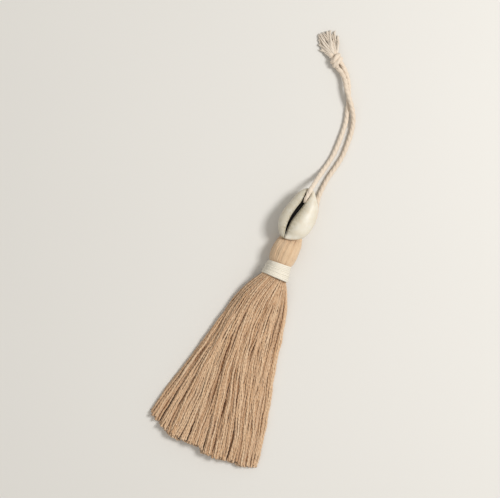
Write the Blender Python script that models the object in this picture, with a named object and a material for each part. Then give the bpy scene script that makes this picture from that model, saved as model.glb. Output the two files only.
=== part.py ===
"""Tassel of tan cotton yarn with a cowrie on a knotted hanging loop, lying on its side.

Lengths are in metres and +Z is up. The origin is on the surface, below the middle of the binding.
The skirt runs from there towards -Y and the hanging loop towards +Y.
"""
import math
import random
from collections import namedtuple

import bmesh
import bpy
import numpy as np
from mathutils import Vector, geometry
from mathutils.geometry import interpolate_bezier

MM = 0.001
GOLDEN = (math.sqrt(5) - 1) / 2

# Skirt: cotton yarn that leaves the neck as a round bundle and spreads into a low fan
STRAND_PLACES = 184  # in the square round the bundle: the round bundle holds about three quarters
BUNDLE_REACH = 0.93
STRAND_FILL = 0.57  # side of a strand, as a share of the side of its place
SETTLED = 9 * MM  # this far from the neck, the lowest strands lie on the surface
SKIRT_LENGTH = 82.3 * MM  # at its middle, from the origin
CORNER_RISE = 3.8 * MM  # how much shorter it is at its two corners
UNEVEN_CUT = 1.1 * MM
UNDERSIDE_CUT = 1.5 * MM  # strands that lie on the surface end this much sooner
SIDE_DROP = 0.6  # how far the sides of the bundle sink, as a share of half its height
LOCK_EDGE = -0.80  # strands to the left of this share of the half width form a lock apart
LOCK_PART = 1.3 * MM

# Head: folded yarn, in soft ridges along its length
HEAD_RIDGES = 14
HEAD_RIDGE = 0.022
HEAD_STEPS = 42

# Binding: turns of thread round the neck
BINDING_LENGTH = 5.0 * MM
BINDING_TURNS = 6
BINDING_STEPS = 32
THREAD_RIDGE = 0.14 * MM

# Hanging loop: soft twisted cotton cord
CORD_DIAMETER = 2.0 * MM
CORD_STEP = 2.2 * CORD_DIAMETER

# Knot: its middle, and the way from the legs to the frayed ends
KNOT_MIDDLE = Vector((-11.2, 89.2, 0)) * MM
KNOT_ALONG = Vector((-0.8, 0.6, 0))
KNOT_ACROSS = Vector((0.6, 0.8, 0))
KNOT_STEPS = 20
KNOT_WRAP = 0.10
FRAY_PLACES = 16
FRAY_LENGTH = 13.6 * MM
FRAY_FILL = 0.55

Section = namedtuple("Section", "along left right low high")
CowrieSection = namedtuple("CowrieSection", "along left right low margin top slit width depth")


def sections(kind, *rows):
    """Rows in millimetres as sections of one kind in metres."""
    return [kind(*(value * MM for value in row)) for row in rows]


# Along, left edge, right edge, underside and top of the bundle of strands
SKIRT = sections(
    Section,
    (-3.0, -4.2, 4.2, 1.1, 9.2),
    (-6.0, -7.0, 7.0, 0.4, 9.9),
    (-12.0, -10.4, 10.7, 0.0, 9.4),
    (-28.0, -15.1, 15.3, 0.0, 8.2),
    (-55.0, -22.8, 22.5, 0.0, 7.2),
    (-84.0, -28.0, 27.4, 0.0, 6.4),
)

# The same columns, from the neck's foot up to the folded top, which slopes down below the cowrie
HEAD = sections(
    Section,
    (-3.0, -4.5, 4.5, 0.85, 9.45),
    (2.7, -4.5, 4.5, 0.85, 9.45),
    (3.3, -5.1, 5.2, 0.2, 10.1),
    (5.5, -5.6, 5.7, -0.3, 10.6),
    (9.5, -5.4, 5.8, -0.3, 10.5),
    (12.2, -4.7, 5.4, 0.1, 7.9),
    (13.2, -4.4, 5.2, 0.2, 6.3),
    (14.0, -4.1, 5.0, 0.4, 5.0),
    (15.6, -3.0, 4.3, 0.7, 3.6),
    (16.4, -1.6, 3.2, 1.1, 2.9),
)

# The same columns: the inside of the binding and the crests of its turns
BINDING_INSIDE = Section(0, *(value * MM for value in (-4.8, 4.8, 0.55, 9.75)))
BINDING_OUTSIDE = Section(0, *(value * MM for value in (-5.45, 5.45, -0.45, 10.4)))

# Along, left and right edges, underside, height of the widest line, top, and the slit's middle,
# width and depth
COWRIE = sections(
    CowrieSection,
    (12.6, -3.5, -0.7, 7.8, 8.4, 9.2, -2.3, 0.3, 0.2),
    (13.3, -4.6, 1.0, 6.4, 8.1, 9.9, -2.6, 0.4, 0.5),
    (14.8, -5.9, 3.3, 4.8, 7.8, 10.6, -2.8, 0.5, 1.2),
    (17.0, -7.0, 5.3, 2.9, 7.4, 11.0, -3.1, 0.6, 1.8),
    (20.0, -7.6, 6.7, 1.2, 7.1, 11.1, -3.2, 0.8, 2.2),
    (23.3, -7.3, 7.1, -0.1, 6.9, 11.0, -2.6, 0.9, 2.4),
    (26.5, -6.4, 6.7, -0.1, 6.8, 10.7, -2.0, 1.0, 2.4),
    (29.5, -5.5, 5.7, 0.9, 6.8, 10.3, -1.1, 1.4, 2.4),
    (30.6, -5.1, 5.1, 1.5, 6.9, 10.1, -0.7, 2.7, 2.2),
    (32.6, -4.3, 3.7, 2.9, 7.0, 9.6, -0.5, 2.7, 1.9),
    (34.2, -3.2, 2.4, 4.5, 7.2, 9.1, -0.4, 2.7, 1.5),
    (35.4, -2.0, 1.2, 6.4, 7.4, 8.3, -0.4, 2.0, 0.5),
)
LIP_STEPS = 4
DOME_STEPS = 10

# Routes of the two legs of the loop in millimetres, from the tassel up to the knot
LEFT_ROUTE = (
    (-0.6, 31.2, 9.5),
    (-0.4, 33.2, 9.5),
    (-0.2, 35.4, 9.5),
    (0.1, 37.4, 8.4),
    (0.5, 39.8, 6.0),
    (1.0, 42.2, 3.5),
    (1.6, 44.9, 1.7),
    (2.3, 48.2, 1.06),
    (3.0, 52.6, 1.06),
    (3.1, 57.3, 1.06),
    (2.9, 62.6, 1.06),
    (2.4, 67.4, 1.06),
    (1.1, 72.3, 1.06),
    (-0.4, 76.9, 1.06),
    (-2.3, 81.4, 1.1),
    (-4.4, 85.1, 1.3),
    (-6.2, 87.0, 1.5),
    (-7.8, 88.2, 1.6),
)
RIGHT_ROUTE = (
    (3.2, 16.75, 1.9),
    (4.5, 18.2, 1.3),
    (5.8, 21.0, 1.06),
    (6.2, 24.0, 1.06),
    (5.8, 27.4, 1.06),
    (4.9, 30.8, 1.06),
    (4.2, 34.1, 1.06),
    (4.3, 38.6, 1.06),
    (4.8, 43.4, 1.06),
    (5.9, 48.4, 1.06),
    (6.7, 53.4, 1.06),
    (6.7, 58.0, 1.06),
    (6.4, 62.6, 1.08),
    (5.8, 66.6, 1.4),
    (4.5, 70.2, 2.3),
    (2.3, 73.7, 3.2),
    (-0.2, 76.7, 3.5),
    (-2.7, 79.7, 3.3),
    (-5.2, 82.8, 2.85),
    (-7.7, 85.1, 2.5),
    (-9.25, 86.3, 2.4),
)

# Knot, in its own directions: along, across to each side, underside and top
KNOT = sections(
    Section,
    (-2.9, -2.3, 2.2, 0.4, 3.9),
    (-2.0, -2.8, 2.7, -0.05, 4.5),
    (-0.6, -2.6, 2.7, -0.05, 4.7),
    (0.8, -2.7, 2.6, -0.05, 4.6),
    (2.1, -2.5, 2.5, 0.0, 4.2),
    (2.9, -1.9, 1.9, 0.5, 3.5),
)
FRAYS = sections(
    Section,
    (2.9, -1.6, 1.6, 0.7, 3.3),
    (5.2, -2.3, 3.0, 0.2, 3.4),
    (8.6, -3.9, 5.6, 0.0, 2.8),
    (14.0, -5.6, 8.6, 0.0, 2.0),
)


def between(rows, along):
    """The section at a place along the rows."""
    order = sorted(rows, key=lambda row: row.along)
    places = [row.along for row in order]
    return Section(*(float(np.interp(along, places, column)) for column in zip(*order)))


def outline(section, steps, ridge=lambda angle: 0.0):
    """Points (across, up) round an oval section, pressed flat where it meets the surface."""
    middle = (section.left + section.right) / 2
    height = (section.low + section.high) / 2
    points = []
    for step in range(steps):
        angle = 2 * math.pi * step / steps - math.pi / 2
        reach = 1 + ridge(angle)
        across = middle + (section.right - section.left) / 2 * reach * math.cos(angle)
        up = height + (section.high - section.low) / 2 * reach * math.sin(angle)
        points.append((across, max(up, 0.0)))
    return points


def join_rings(bm, rings):
    """Faces between each ring of vertices and the next."""
    for ring, following in zip(rings, rings[1:]):
        for index, vertex in enumerate(ring):
            after = (index + 1) % len(ring)
            bm.faces.new((vertex, ring[after], following[after], following[index]))


def lanes(places, reach):
    """Evenly spread places (across, up) in the unit disc.

    The golden step keeps any two of them apart, however wide and low the disc is pressed.
    """
    spread = []
    for index in range(places):
        across = 2 * (index * GOLDEN % 1) - 1
        up = (2 * index + 1) / places - 1
        if math.hypot(across, up) <= reach:
            spread.append((across, up))
    return spread


def strand_square(section, lane, places, fill, settled):
    """Corners (across, up) of a strand where it passes a section of its bundle."""
    width = section.right - section.left
    height = section.high - section.low
    half = fill * math.sqrt(width * height / places) / 2
    across = section.left + width * (lane[0] + 1) / 2
    drop = settled * SIDE_DROP * lane[0] ** 2
    up = section.low + height * (lane[1] + 1 - drop) / 2
    if settled == 1 and up < 1.8 * half:
        up = half
    corners = ((-1, -1), (1, -1), (1, 1), (-1, 1))
    return [(across + side * half, up + rise * half) for side, rise in corners]


def close_round_roots(bm, rim, rim_points, roots, place):
    """Fill the plane inside a rim, but for the square roots, and return each root's vertices."""
    points = list(rim_points)
    edges = [(index, (index + 1) % len(rim)) for index in range(len(rim))]
    for root in roots:
        first = len(points)
        points.extend(root)
        edges.extend((first + corner, first + (corner + 1) % 4) for corner in range(4))
    flat = [Vector(point) / MM for point in points]
    found = geometry.delaunay_2d_cdt(flat, edges, [], 1, 1e-6, True)
    triangles, sources = found[2], found[3]
    vertices = list(rim) + [bm.verts.new(place(*point)) for point in points[len(rim):]]
    for triangle in triangles:
        corners = [sources[corner][0] for corner in triangle]
        owners = {(corner - len(rim)) // 4 for corner in corners if corner >= len(rim)}
        if len(owners) == 1 and min(corners) >= len(rim):
            continue
        bm.faces.new([vertices[corner] for corner in corners])
    return [vertices[first:first + 4] for first in range(len(rim), len(vertices), 4)]


def add_strands(bm, rim, rim_points, bundle, layout, end_of, place_at):
    """Strands whose roots are fused in the plane of a rim, each along its own lane."""
    places, reach, fill, settle_length, part = layout
    start = bundle[0].along
    spread = lanes(places, reach)

    def square(lane, along):
        section = between(bundle, along)
        settled = min(abs(along - start) / settle_length, 1)
        corners = strand_square(section, lane, places, fill, settled)
        shift = part(lane) * abs(along - start) / SKIRT_LENGTH
        return [place_at(across + shift, along, up) for across, up in corners]

    roots = [strand_square(bundle[0], lane, places, fill, 0) for lane in spread]
    held = close_round_roots(bm, rim, rim_points, roots,
                             lambda across, up: place_at(across, start, up))
    for lane, root in zip(spread, held):
        stops = [row.along for row in bundle[1:-1]] + [end_of(lane)]
        rings = [root]
        rings += [[bm.verts.new(corner) for corner in square(lane, stop)] for stop in stops]
        join_rings(bm, rings)
        bm.faces.new(rings[-1])


def finish_mesh(bm, name, colour, roughness):
    """The mesh as one smooth-shaded object with its own material."""
    bmesh.ops.recalc_face_normals(bm, faces=bm.faces)
    mesh = bpy.data.meshes.new(name)
    bm.to_mesh(mesh)
    bm.free()
    mesh.shade_smooth()
    mesh.set_sharp_from_angle(angle=math.radians(50))
    piece = bpy.data.objects.new(name, mesh)
    bpy.context.scene.collection.objects.link(piece)
    mesh.materials.append(plain_material(name, colour, roughness))
    return piece


def plain_material(name, colour, roughness):
    material = bpy.data.materials.new(name)
    material.use_nodes = True
    shader = material.node_tree.nodes["Principled BSDF"]
    shader.inputs["Base Color"].default_value = (*colour, 1)
    shader.inputs["Roughness"].default_value = roughness
    shader.inputs["Metallic"].default_value = 0
    return material


def in_row(across, along, up):
    return Vector((across, along, up))


def in_knot(across, along, up):
    return KNOT_MIDDLE + KNOT_ACROSS * across + KNOT_ALONG * along + Vector((0, 0, up))


def make_skirt():
    """Head of folded yarn, with the strands of the skirt fused to its foot."""
    bm = bmesh.new()

    def ridge(angle):
        return HEAD_RIDGE * math.cos(HEAD_RIDGES * angle)

    rows = [outline(row, HEAD_STEPS, ridge if row.along > BINDING_LENGTH / 2 else lambda angle: 0.0)
            for row in HEAD]
    rings = [[bm.verts.new(in_row(across, row.along, up)) for across, up in points]
             for row, points in zip(HEAD, rows)]
    join_rings(bm, rings)
    bm.faces.new(rings[-1])

    cut = random.Random(7)

    def end_of(lane):
        across, up = lane
        end = -SKIRT_LENGTH + CORNER_RISE * across ** 2 + cut.uniform(-1, 1) * UNEVEN_CUT
        resting = up + math.sqrt(1 - across ** 2) < 0.3
        return end + (UNDERSIDE_CUT if resting else 0)

    def part(lane):
        return -LOCK_PART if lane[0] < LOCK_EDGE else 0.0

    layout = (STRAND_PLACES, BUNDLE_REACH, STRAND_FILL, SETTLED, part)
    add_strands(bm, rings[0], rows[0], SKIRT, layout, end_of, in_row)
    return finish_mesh(bm, "skirt", (0.62, 0.42, 0.27), 0.9)


def make_binding():
    """Turns of thread round the neck, with a flat foot."""
    bm = bmesh.new()
    rings = []
    for step in range(2 * BINDING_TURNS + 1):
        along = (step / (2 * BINDING_TURNS) - 0.5) * BINDING_LENGTH
        sunk = THREAD_RIDGE if step % 2 == 0 else 0.0
        section = Section(along, BINDING_OUTSIDE.left + sunk, BINDING_OUTSIDE.right - sunk,
                          BINDING_OUTSIDE.low, BINDING_OUTSIDE.high - sunk)
        rings.append([bm.verts.new(in_row(across, along, up))
                      for across, up in outline(section, BINDING_STEPS)])
    for along in (BINDING_LENGTH / 2, -BINDING_LENGTH / 2):
        rings.append([bm.verts.new(in_row(across, along, up))
                      for across, up in outline(BINDING_INSIDE, BINDING_STEPS)])
    join_rings(bm, rings + rings[:1])
    return finish_mesh(bm, "binding", (0.80, 0.74, 0.62), 0.8)


def cowrie_outline(row):
    """Points (across, up) round a section of the cowrie, from the slit over the right lip."""
    points = [(row.slit, row.top - row.depth)]
    right_edge = row.slit + row.width / 2
    left_edge = row.slit - row.width / 2
    points.append((row.slit + row.width * 0.42, row.top - row.depth * 0.9))
    for step in range(LIP_STEPS):
        angle = math.pi / 2 * step / LIP_STEPS
        across = right_edge + (row.right - right_edge) * math.sin(angle)
        points.append((across, row.margin + (row.top - row.margin) * math.cos(angle) ** 0.8))
    middle = (row.left + row.right) / 2
    for step in range(DOME_STEPS + 1):
        angle = math.pi * step / DOME_STEPS
        across = middle + (row.right - row.left) / 2 * math.cos(angle)
        points.append((across, max(row.margin - (row.margin - row.low) * math.sin(angle), 0.0)))
    for step in range(LIP_STEPS - 1, -1, -1):
        angle = math.pi / 2 * step / LIP_STEPS
        across = left_edge + (row.left - left_edge) * math.sin(angle)
        points.append((across, row.margin + (row.top - row.margin) * math.cos(angle) ** 0.8))
    points.append((row.slit - row.width * 0.42, row.top - row.depth * 0.9))
    return points


def make_cowrie():
    """Cowrie that lies on its domed back, with its slit up."""
    bm = bmesh.new()
    rings = [[bm.verts.new(in_row(across, row.along, up)) for across, up in cowrie_outline(row)]
             for row in COWRIE]
    join_rings(bm, rings)
    bm.faces.new(rings[0])
    bm.faces.new(rings[-1])
    return finish_mesh(bm, "cowrie", (0.82, 0.78, 0.68), 0.25)


def make_knot():
    """Overhand knot as one lump with its wraps, and the frayed ends fused to it."""
    bm = bmesh.new()
    rows = []
    for row in KNOT:
        turn = math.pi * row.along / (KNOT[-1].along - KNOT[0].along)
        inner = row in KNOT[1:-1]
        rows.append(outline(row, KNOT_STEPS,
                            lambda angle: KNOT_WRAP * math.cos(3 * angle - 2 * turn) * inner))
    rings = [[bm.verts.new(in_knot(across, row.along, up)) for across, up in points]
             for row, points in zip(KNOT, rows)]
    join_rings(bm, rings)
    bm.faces.new(rings[0])

    cut = random.Random(3)

    def end_of(lane):
        return FRAY_LENGTH - 4.5 * MM * (lane[0] + 0.15) ** 2 - cut.uniform(0, 1.5) * MM

    layout = (FRAY_PLACES, 0.9, FRAY_FILL, 5.5 * MM, lambda lane: 0.0)
    add_strands(bm, rings[-1], rows[-1], FRAYS, layout, end_of, in_knot)
    return finish_mesh(bm, "knot", (0.80, 0.71, 0.60), 0.9)


def smooth_route(route, step):
    """Points at even steps along a smooth curve through a route."""
    points = [Vector(point) * MM for point in route]
    slopes = [(points[min(index + 1, len(points) - 1)] - points[max(index - 1, 0)]) / 2
              for index in range(len(points))]
    fine = []
    for index in range(len(points) - 1):
        start, end = points[index], points[index + 1]
        stretch = interpolate_bezier(start, start + slopes[index] / 3,
                                     end - slopes[index + 1] / 3, end, 24)
        fine.extend(stretch if not fine else stretch[1:])
    travelled = np.cumsum([0.0] + [(after - before).length for before, after in zip(fine, fine[1:])])
    count = round(travelled[-1] / step)
    places = np.linspace(0, travelled[-1], count + 1)
    columns = [np.interp(places, travelled, [point[axis] for point in fine]) for axis in range(3)]
    return list(zip(*columns))


def make_cord(name, route):
    """One leg of the hanging loop as a round tube."""
    curve = bpy.data.curves.new(name, "CURVE")
    curve.dimensions = "3D"
    curve.bevel_depth = CORD_DIAMETER / 2
    curve.bevel_resolution = 2
    curve.use_fill_caps = True
    spline = curve.splines.new("POLY")
    points = smooth_route(route, CORD_STEP)
    spline.points.add(len(points) - 1)
    for place, point in zip(spline.points, points):
        place.co = (*point, 1)
    spline.use_smooth = True
    curve.materials.append(plain_material(name, (0.80, 0.71, 0.60), 0.9))
    cord = bpy.data.objects.new(name, curve)
    bpy.context.scene.collection.objects.link(cord)
    return cord


for leftover in list(bpy.data.objects):
    bpy.data.objects.remove(leftover, do_unlink=True)

make_skirt()
make_binding()
make_cowrie()
make_knot()
make_cord("cord_left", LEFT_ROUTE)
make_cord("cord_right", RIGHT_ROUTE)
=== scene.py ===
import math
from collections import namedtuple

import bpy
import numpy as np
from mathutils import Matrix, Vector


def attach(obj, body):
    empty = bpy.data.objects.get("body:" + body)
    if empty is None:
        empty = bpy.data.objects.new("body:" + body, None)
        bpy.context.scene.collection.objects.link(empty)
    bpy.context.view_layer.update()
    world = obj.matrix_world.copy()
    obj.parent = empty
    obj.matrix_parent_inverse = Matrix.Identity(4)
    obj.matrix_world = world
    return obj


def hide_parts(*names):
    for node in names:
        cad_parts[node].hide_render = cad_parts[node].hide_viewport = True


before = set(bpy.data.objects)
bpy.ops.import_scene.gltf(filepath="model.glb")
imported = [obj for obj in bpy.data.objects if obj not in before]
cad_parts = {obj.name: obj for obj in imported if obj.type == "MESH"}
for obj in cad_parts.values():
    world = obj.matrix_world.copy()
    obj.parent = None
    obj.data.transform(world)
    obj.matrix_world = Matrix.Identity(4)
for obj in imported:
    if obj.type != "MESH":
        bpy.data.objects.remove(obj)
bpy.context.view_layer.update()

MM = 0.001
GOLDEN = (math.sqrt(5) - 1) / 2
UP = (0.0, 0.0, 1.0)
ALONG = (0.0, 1.0, 0.0)
FLOOR_CLEAR = 0.02  # nothing of the tassel comes nearer to the floor than this

# Camera: straight above, turned as the tassel lies in the photo
VIEW_MIDDLE = (-13.6, 3.2)
VIEW_TURN = math.radians(23)
VIEW_WIDTH = 208.0
CAMERA_HEIGHT = 620.0
SENSOR = 36.0

# Hanging loop: soft cotton cord of three strands. The routes, along its middle, keep close to those
# of the solids.
CORD_DIAMETER = 2.0
CORD_STEP = 0.25
CORD_PITCH = 7.2  # one full turn of the three strands
CORD_STRANDS = dict(lobes=3, groove=0.3, pitch=CORD_PITCH, sides=18)
LEFT_ROUTE = (
    (-0.6, 31.2, 9.5),
    (-0.4, 33.2, 9.5),
    (-0.2, 35.4, 9.5),
    (0.1, 37.4, 8.4),
    (0.5, 39.8, 6.0),
    (1.0, 42.2, 3.5),
    (1.6, 44.9, 1.7),
    (2.3, 48.2, 1.06),
    (3.0, 52.6, 1.06),
    (3.1, 57.3, 1.06),
    (2.9, 62.6, 1.06),
    (2.4, 67.4, 1.06),
    (1.1, 72.3, 1.06),
    (-0.4, 76.9, 1.06),
    (-2.3, 81.4, 1.1),
    (-4.55, 85.0, 1.3),
    (-6.35, 86.85, 1.5),
    (-7.8, 88.2, 1.6),
)
RIGHT_ROUTE = (
    (3.2, 16.75, 1.9),
    (4.5, 18.2, 1.3),
    (5.8, 21.0, 1.06),
    (6.2, 24.0, 1.06),
    (5.8, 27.4, 1.06),
    (4.9, 30.8, 1.06),
    (4.2, 34.1, 1.06),
    (4.3, 38.6, 1.06),
    (4.8, 43.4, 1.06),
    (5.9, 48.4, 1.06),
    (6.7, 53.4, 1.06),
    (6.7, 58.0, 1.06),
    (6.4, 62.6, 1.08),
    (5.8, 66.6, 1.4),
    (4.5, 70.2, 2.3),
    (2.3, 73.7, 3.2),
    (-0.2, 76.7, 3.5),
    (-2.7, 79.7, 3.3),
    (-4.85, 83.0, 2.9),
    (-7.35, 85.35, 2.5),
    (-9.25, 86.3, 2.4),
)

# Knot: its middle, and the way from the legs to the frayed ends
KNOT_MIDDLE = np.array((-11.2, 89.2, 0.0))
KNOT_ALONG = np.array((-0.8, 0.6, 0.0))
KNOT_ACROSS = np.array((0.6, 0.8, 0.0))
KNOT_HEIGHT = 2.35
WRAP_REACH = (1.75, 1.35)  # across and up, from the knot's middle to the middle of a wrap
WRAP_TILT = 0.825  # how far a wrap leans along the knot, from its middle to its side
WRAP_CLIMB = 0.16  # along the knot, for each radian
WRAP_RADIUS = 1.08
WRAP_STARTS = (-0.95, 0.75)
WRAP_TURN = (-0.62 * math.pi, 1.68 * math.pi)
WRAP_SUNK = 0.55  # a wrap's ends lie this share of its reach from the knot's middle
KNOT_CORE_RADIUS = 0.95

# Frayed ends, in the knot's directions: where each lock of loose fibres ends, along and across
FRAY_TIPS = (
    (7.4, -3.1),
    (9.4, -2.5),
    (11.6, -1.5),
    (12.8, -0.3),
    (12.6, 1.1),
    (12.2, 2.5),
    (11.8, 3.9),
    (10.7, 5.2),
    (8.6, 5.9),
)
FRAY_FIBRES = 18  # in each lock
FRAY_FIBRE = 0.23  # radius: real fibres are far finer than this, too fine to show
FRAY_FOOT = (2.0, 2.2)  # along and up, in the knot
FRAY_FOOT_WIDTH = 2.5
FRAY_TIP_HEIGHT = 0.85
FRAY_FLOOR = 0.15
FRAY_SPREAD = ((0, 0.5, 1), (0.5, 0.85, 0.6))  # radius of a lock, by the share of its length
FRAY_WAVES = ((5.0, 2.2), (0.14, 0.06))
FRAY_RISES = ((5.0, 2.2), (0.1, 0.05))

# Skirt: two-ply yarn in lanes of a round bundle that spreads into a low fan. A yarn's lane is its
# place across and up in that bundle, from -1 to 1 both ways.
YARN_PLACES = 520
BUNDLE_REACH = 0.965
STATIONS = 58  # places along the skirt where its yarns push each other apart
SETTLE_ROUNDS = 120
NEIGHBOURS = 24  # others that a yarn can touch
LOOK_AGAIN = 12  # rounds after which the nearest neighbours are looked for again
SINK = 0.012  # how far a yarn sinks in a round, before its neighbours push it back
TOUCH = 0.84  # the plies let two yarns come this share of their radii near
PUSH = 0.25  # share of an overlap that each of two yarns gives way in a round
HOMEWARD = 0.02  # share of the way back to its lane that a yarn moves in a round
STIFFNESS = 0.35  # share of the way to a straight line that it moves in a round
CLUMP_PLACES = 84  # small clumps that the yarns cling together in
CLUMP_HOLD = 0.016  # share of the way to its clump's middle that it moves in a round
SKIRT_TOP = -1.2  # under the binding
SKIRT_FOOT = -3.8  # the yarns are held above this, and come free below it
SKIRT_END = -84.5  # a little past the cut
SKIRT_LENGTH = 82.3  # from the neck's middle to the cut, on average
# Lengths over which the yarns come free to wave, to be pushed, to cling in clumps and to drop
WAVES_OVER = 16
PUSH_OVER = 8
CLUMPS_OVER = 20
DROP_OVER = 9.0
SIDE_DROP = 0.6  # how far the bundle's sides drop, in its half heights
# Lengths and sizes of the yarns' waves: each yarn's own sideways and up, and those of its clump
YARN_WAVES = ((70, 33), (0.4, 0.15))
YARN_RISES = ((60, 30), (0.25, 0.12))
CLUMP_WAVES = ((46, 21, 11), (0.28, 0.16, 0.08))
# Those that are too short to settle: kinks sideways and up, and a change of thickness as a share
KINKS = ((14, 6), (0.14, 0.07))
KINK_RISES = ((14, 7), (0.09, 0.04))
SLUBS = ((9, 4), (0.05, 0.03))
# Along, left edge, right edge, underside and top of the bundle
SKIRT = (
    (-1.0, -4.4, 4.5, 0.9, 9.3),
    (-3.8, -5.2, 5.5, 0.3, 10.1),
    (-6.0, -7.0, 7.1, 0.2, 10.5),
    (-12.0, -10.6, 10.3, 0.0, 9.8),
    (-20.0, -12.7, 12.1, 0.0, 8.8),
    (-40.0, -17.2, 16.6, 0.0, 7.8),
    (-60.0, -23.1, 21.5, 0.0, 7.0),
    (-84.0, -28.9, 25.8, 0.0, 6.4),
)
# The upper yarns leave the neck further left than they end. Along, how far that goes, and then
# across at the cut, the share of it that a yarn takes, both in half widths
SWEPT_ALONG = (
    (-84.0, 0.0),
    (-60.0, 0.17),
    (-40.0, 0.45),
    (-20.0, 0.6),
    (-8.0, 0.42),
    (-4.0, 0.16),
    (0.0, 0.0),
)
SWEPT_ABOVE = (0.3, 0.4)  # height at which that begins, and over which it grows to the whole
SWEPT_ACROSS = (
    (-1.0, 0.0),
    (-0.75, 0.22),
    (-0.3, 0.58),
    (0.06, 0.8),
    (0.5, 1.0),
    (0.73, 0.86),
    (0.92, 0.5),
    (1.0, 0.0),
)
# Along, radius of a yarn
YARN_RADIUS = (
    (-84.0, 0.455),
    (-55.0, 0.45),
    (-28.0, 0.4),
    (-12.0, 0.33),
    (-6.0, 0.27),
    (-3.0, 0.23),
    (0.0, 0.22),
)
# Across at the cut, along: the cut edge, with the step in its middle
CUT_EDGE = (
    (-27.4, -74.6),
    (-21.3, -77.6),
    (-12.8, -80.5),
    (-5.0, -80.1),
    (-0.3, -80.1),
    (0.5, -82.0),
    (7.4, -81.2),
    (14.3, -80.6),
    (17.5, -81.2),
    (24.3, -79.0),
)
# Where one lock of yarns ends and the next begins, as shares of the half width
LOCK_EDGES = (-0.75, -0.63, -0.5, -0.36, -0.2, -0.11, -0.01, 0.13, 0.28, 0.38, 0.55, 0.66, 0.83)
LOCKS = len(LOCK_EDGES) + 1
LOCK_MIDDLE = np.convolve((-1, *LOCK_EDGES, 1), (0.5, 0.5), "valid")
LOCK_LEAN = 0.12  # at the bundle's top those edges lie this much further left
# The outer left lock and its neighbour part from here on, over this length, by this share each
PARTING = (-28, 34, 0.035)
LOCK_WAVES = ((61, 0.22), (27, 0.1))  # length and size
LOCK_DRAWN = (82, 0.62 * math.pi, 0.7)  # length, angle and power of the curve that draws a lock in
lock_rng = np.random.default_rng(21)
LOCK_PULL = lock_rng.uniform(0.0, 0.06, LOCKS)
LOCK_PULL[0] = 0.3  # the outer left one is drawn in most
LOCK_CUT = lock_rng.uniform(-0.5, 0.5, LOCKS)
LOCK_PHASES = lock_rng.uniform(0, 2 * math.pi, (LOCKS, 2))
DRIFT = 1.0  # how far a yarn's end lies from its place, as a standard deviation
STRAYS = 0.12  # share of the upper yarns that stray across their neighbours
STRAY_REACH = 3.2
STRAY_RISE = 0.9
CUT_UNEVEN = 0.6
UNDERSIDE = -0.6  # yarns below this height in the bundle are cut shorter
UNDERSIDE_CUT = 1.2
# Steps along a yarn and its thickness beside the settled one, where it shows and inside
SHOWN_YARN = (190, 1.16)
INSIDE_YARN = (56, 1.35)
SHOWN_SHARE = 0.14  # a yarn shows if it does so along more than this share of its length
# Parts of the skirt that are pieces of their own: from and to, across
SKIRT_PARTS = (
    ("far_left", -2, -0.5),
    ("left", -0.5, -0.02),
    ("right", -0.02, 0.5),
    ("far_right", 0.5, 2),
)
# Painted shade: a yarn's colour is painted darker where it lies below the skirt's top, but not near
# the cut
ROOF_PLACES = np.arange(-30, 30, 0.4)  # across the skirt
ROOF_REACH = 0.8  # how far the top is taken to reach beside a yarn, over the gap
PAINTED_SHADE_FROM = 0.7  # in radii of a yarn, down from the top
PAINTED_SHADE_OVER = 1.3
CUT_FADE = 3
FLANK = (0.8, 0.25)  # further out in the bundle than this, and lower, a yarn is seen from the side

# Head: folded yarn in soft bunches. Along, left, right, underside and top, close to the solid's
HEAD = (
    (0.5, -4.5, 4.5, 0.9, 9.4),
    (2.5, -4.7, 4.7, 0.7, 9.6),
    (3.6, -5.2, 5.3, 0.0, 10.2),
    (5.5, -5.6, 5.7, -0.3, 10.6),
    (9.5, -5.4, 5.8, -0.3, 10.5),
    (12.2, -4.8, 5.8, 0.1, 7.9),
    (13.2, -4.4, 5.6, 0.2, 6.3),
    (14.0, -4.1, 5.4, 0.4, 5.0),
    (15.6, -3.0, 4.6, 0.7, 3.6),
    (16.3, -1.6, 3.2, 1.1, 2.9),
    (16.6, 0.2, 1.4, 1.7, 2.3),
)
HEAD_YARNS = 48
HEAD_CLOSE = 0.92  # a yarn's radius, as a share of the girth that it has to itself
HEAD_YARN_RADII = (0.12, 0.85)
HEAD_CORE = 0.88  # size of the soft core, as a share of the head's
HEAD_WAVES = ((14, 6), (1.0, 0.4))
HEAD_SWAY = 0.03
# Valleys between the bunches: share of the half width, how deep
HEAD_VALLEYS = ((-0.55, 0.32), (-0.1, 0.2), (0.34, 0.26), (0.72, 0.3))
VALLEY_WIDTH = 0.09
VALLEYS_ALONG = ((2.5, 5, 12, 14), (0, 1, 1, 0))  # where they begin, are whole, and end

# Binding: turns of thread round the neck
BINDING_TURNS = 9
BINDING_ENDS = (-3.5, 2.5)  # middles of the lowest and the highest turn
BINDING_SLANT = (0.01, 0.1)  # their rise along the tassel for each millimetre across
THREAD_RADIUS = 0.48
BINDING_START = -0.6 * math.pi  # the thread starts under the neck
TUCKED = (0.12, 0.7)  # turns over which its ends sink in, and how far
# Left, right, underside and top of the turns' outside, for the lowest turn and the highest
BINDING_OUTSIDE = ((-5.8, 6.3, -0.45, 10.45), (-5.0, 5.1, -0.45, 10.45))

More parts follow.
